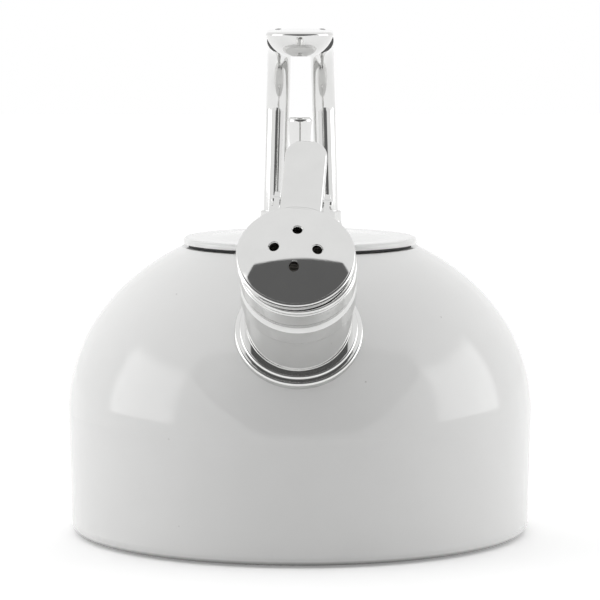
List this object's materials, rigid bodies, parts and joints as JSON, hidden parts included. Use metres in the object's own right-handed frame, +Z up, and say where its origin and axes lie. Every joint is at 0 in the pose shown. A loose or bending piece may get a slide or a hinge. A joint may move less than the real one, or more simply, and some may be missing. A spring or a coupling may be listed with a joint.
{
  "type": "stovetop whistling kettle",
  "caption": "Domed enamelled stovetop kettle with a short spout, a hinged steam-whistle flap with thumb lever, a flat lift-off lid with a tall knob, and a cantilever tube handle.",
  "frame": {"origin": "centre of the flat base, on the surface that the kettle stands on", "axes": "+Z up along the body's axis, -Y towards the spout, +X to the right seen from the spout"},
  "size_m": [0.2, 0.2409, 0.216],
  "materials": {
    "enamel": "glossy pale grey porcelain enamel on steel",
    "polished_steel": "mirror-polished stainless steel",
    "plain_steel": "satin stainless steel",
    "silicone": "matt dark grey silicone"
  },
  "bodies": {
    "kettle": {"base_pan": "plain_steel", "body_shell": "enamel", "handle_grip": "polished_steel", "handle_leg_left": "polished_steel", "handle_leg_right": "polished_steel", "hinge_bracket": "polished_steel", "hinge_pin": "polished_steel", "hinge_spring": "plain_steel", "leg_foot_left": "polished_steel", "leg_foot_right": "polished_steel", "leg_gasket_left": "silicone", "leg_gasket_right": "silicone", "leg_nuts": "plain_steel", "leg_washer_left": "plain_steel", "leg_washer_right": "plain_steel", "spout_neck": "polished_steel", "spout_ring": "polished_steel", "whistle_collar": "polished_steel"},
    "lid": {"lid_shell": "enamel", "lid_collar": "plain_steel", "lid_seal": "silicone", "lid_knob": "polished_steel", "knob_washer": "plain_steel", "knob_screw": "plain_steel"},
    "flap": {"flap_cap": "polished_steel", "whistle_cup": "plain_steel", "whistle_plate": "plain_steel", "flap_seal": "silicone"}
  },
  "joints": [
    {"name": "flap_hinge", "type": "hinge", "parent": "kettle", "child": "flap", "pos_m": [0.00149, -0.10191, 0.14902], "axis": [-0.9969, 0.0483, 0.0618], "range_deg": [0, 65], "stiffness_Nm_per_rad": 0.03, "springref_deg": -22.92, "deforming": ["hinge_spring"]},
    {"name": "lid_lift", "type": "slide", "parent": "kettle", "child": "lid", "axis": [0, 0, 1], "range_m": [0, 0.022]}
  ]
}
